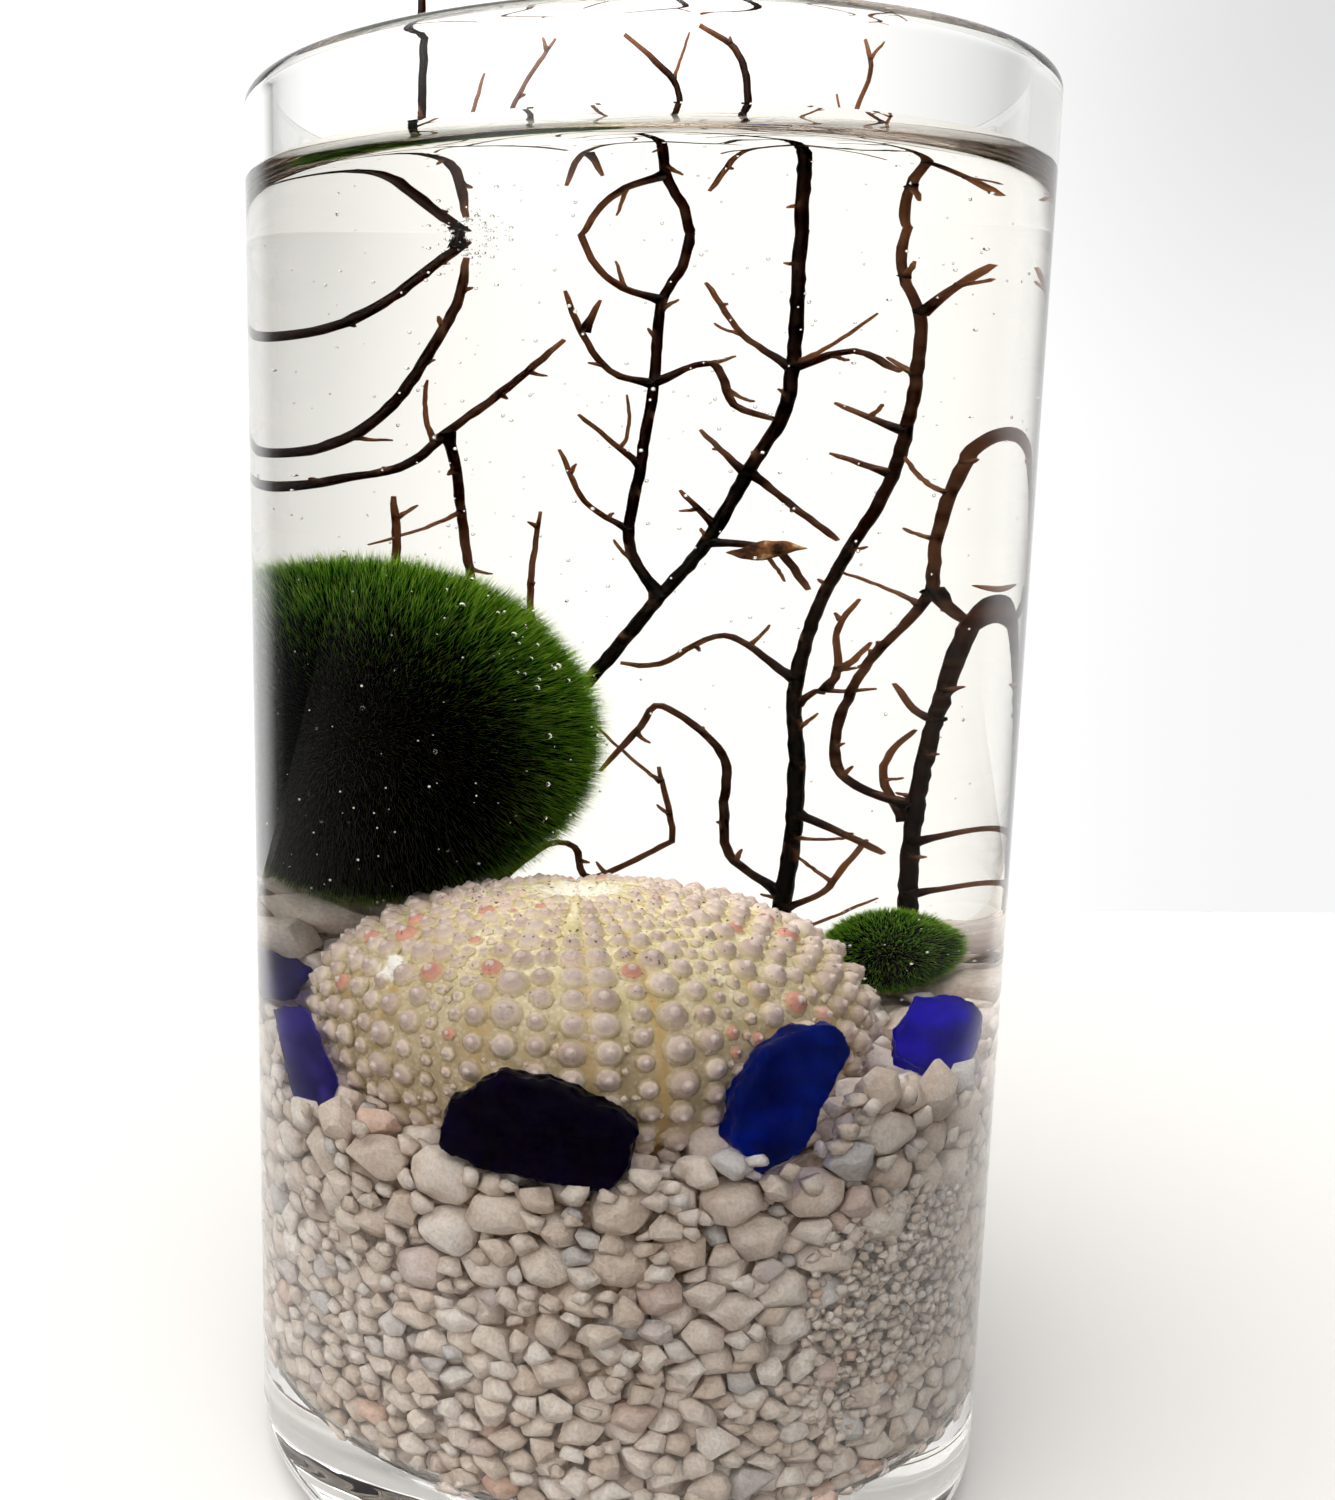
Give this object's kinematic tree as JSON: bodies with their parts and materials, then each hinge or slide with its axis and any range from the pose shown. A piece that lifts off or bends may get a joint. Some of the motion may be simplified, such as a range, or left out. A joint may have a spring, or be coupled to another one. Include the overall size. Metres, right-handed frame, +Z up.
{
  "type": "moss ball vase",
  "caption": "Clear cylinder vase of water with moss balls, white gravel, a sea urchin shell, blue sea glass and a black sea fan behind.",
  "frame": {"origin": "centre of the vase's underside, on the surface that it stands on", "axes": "+Z up along the vase's axis, -Y towards the front of the arrangement, +X to its right"},
  "size_m": [0.085, 0.085, 0.1781],
  "materials": {
    "clear_glass": "clear, fire-polished",
    "water": "clear still water",
    "white_gravel": "crushed white stone, matte",
    "moss": "dense velvety green filaments",
    "urchin_shell": "chalky lilac-cream shell with yellow-green seams",
    "navy_sea_glass": "frosted by the sea",
    "deep_blue_sea_glass": "frosted by the sea",
    "bright_blue_sea_glass": "frosted by the sea",
    "violet_sea_glass": "frosted by the sea",
    "sea_fan_horn": "dark brown to black horny skeleton, satin"
  },
  "bodies": {
    "root": {"glass_vase": "clear_glass", "water": "water", "gravel_bed": "white_gravel", "marimo_large": "moss", "marimo_small": "moss", "urchin_shell": "urchin_shell", "sea_glass_front": "navy_sea_glass", "sea_glass_front_right": "deep_blue_sea_glass", "sea_glass_right": "bright_blue_sea_glass", "sea_glass_left": "violet_sea_glass", "sea_glass_back_left": "violet_sea_glass", "sea_fan_root": "sea_fan_horn", "sea_fan_right_stem": "sea_fan_horn", "sea_fan_middle_stem": "sea_fan_horn", "sea_fan_centre_stem": "sea_fan_horn", "sea_fan_left_stem": "sea_fan_horn", "sea_fan_upper_left_branch": "sea_fan_horn", "sea_fan_mid_left_branch": "sea_fan_horn", "sea_fan_lower_left_branch": "sea_fan_horn"}
  },
  "joints": []
}
